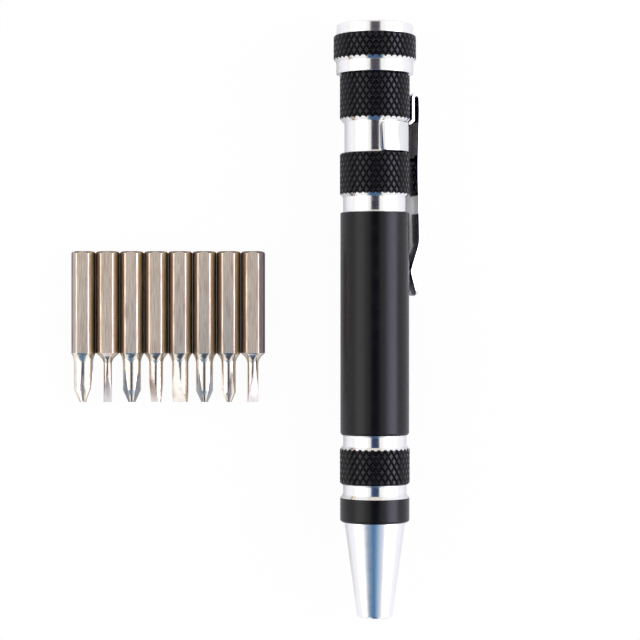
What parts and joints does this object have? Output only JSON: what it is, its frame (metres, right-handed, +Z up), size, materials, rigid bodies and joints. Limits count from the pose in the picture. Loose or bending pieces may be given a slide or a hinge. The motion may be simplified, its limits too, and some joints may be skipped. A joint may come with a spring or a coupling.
{
  "type": "pocket screwdriver",
  "caption": "Pen-style pocket screwdriver with a knurled two-tone barrel, screw cap, spring pocket clip and a row of loose hex bits.",
  "frame": {"origin": "on the table under the middle of the set: the centre of the bounding box's bottom face", "axes": "+Z up from the table, +Y along the pen from the nose to the cap, +X across from the bits to the pen's clip"},
  "size_m": [0.0648, 0.1084, 0.0151],
  "materials": {
    "black_anodised": "satin black anodising, with bright grooves turned through it",
    "bright_aluminium": "bright turned",
    "magnet": "nickel plated",
    "liner": "matt",
    "clip_steel": "polished spring steel",
    "bit_steel": "satin nickel plated, bright ground tips"
  },
  "bodies": {
    "barrel": {"barrel": "black_anodised", "nose_cone": "bright_aluminium", "bit_magnet": "magnet"},
    "liner": {"cap_liner": "liner"},
    "cap": {"screw_cap": "black_anodised"},
    "clip_band": {"clip_band": "clip_steel"},
    "clip_arm": {"clip_arm": "clip_steel"},
    "cross_bit_1": {"cross_bit_1": "bit_steel"},
    "slotted_bit_1_5": {"slotted_bit_1_5": "bit_steel"},
    "cross_bit_0": {"cross_bit_0": "bit_steel"},
    "slotted_bit_2_5": {"slotted_bit_2_5": "bit_steel"},
    "slotted_bit_3_0": {"slotted_bit_3_0": "bit_steel"},
    "cross_bit_00": {"cross_bit_00": "bit_steel"},
    "cross_bit_000": {"cross_bit_000": "bit_steel"},
    "slotted_bit_2_0": {"slotted_bit_2_0": "bit_steel"}
  },
  "joints": [
    {"name": "cap_lift", "type": "slide", "parent": "barrel", "child": "liner", "axis": [0, 1, 0], "range_m": [0, 0.0066]},
    {"name": "cap_turn", "type": "hinge", "parent": "liner", "child": "cap", "pos_m": [0.0238, 0.04962, 0.00755], "axis": [0, 1, 0], "range_deg": [0, 2340]},
    {"name": "clip_turn", "type": "hinge", "parent": "barrel", "child": "clip_band", "pos_m": [0.0238, 0.03352, 0.00755], "axis": [0, 1, 0], "continuous": true},
    {"name": "clip_flex", "type": "hinge", "parent": "clip_band", "child": "clip_arm", "pos_m": [0.03036, 0.04068, 0.00345], "axis": [0.5299, 0, 0.848], "range_deg": [0, 4], "stiffness_Nm_per_rad": 1},
    {"name": "cross_bit_1_lift", "type": "slide", "parent": "barrel", "child": "cross_bit_1", "axis": [0, 0, 1], "range_m": [0, 0.02]},
    {"name": "slotted_bit_1_5_lift", "type": "slide", "parent": "barrel", "child": "slotted_bit_1_5", "axis": [0, 0, 1], "range_m": [0, 0.02]},
    {"name": "cross_bit_0_lift", "type": "slide", "parent": "barrel", "child": "cross_bit_0", "axis": [0, 0, 1], "range_m": [0, 0.02]},
    {"name": "slotted_bit_2_5_lift", "type": "slide", "parent": "barrel", "child": "slotted_bit_2_5", "axis": [0, 0, 1], "range_m": [0, 0.02]},
    {"name": "slotted_bit_3_0_lift", "type": "slide", "parent": "barrel", "child": "slotted_bit_3_0", "axis": [0, 0, 1], "range_m": [0, 0.02]},
    {"name": "cross_bit_00_lift", "type": "slide", "parent": "barrel", "child": "cross_bit_00", "axis": [0, 0, 1], "range_m": [0, 0.02]},
    {"name": "cross_bit_000_lift", "type": "slide", "parent": "barrel", "child": "cross_bit_000", "axis": [0, 0, 1], "range_m": [0, 0.02]},
    {"name": "slotted_bit_2_0_lift", "type": "slide", "parent": "barrel", "child": "slotted_bit_2_0", "axis": [0, 0, 1], "range_m": [0, 0.02]}
  ],
  "couplings": [
    {"joint": "cap_lift", "follows": "cap_turn", "m_per_rad": 0.00015915}
  ]
}
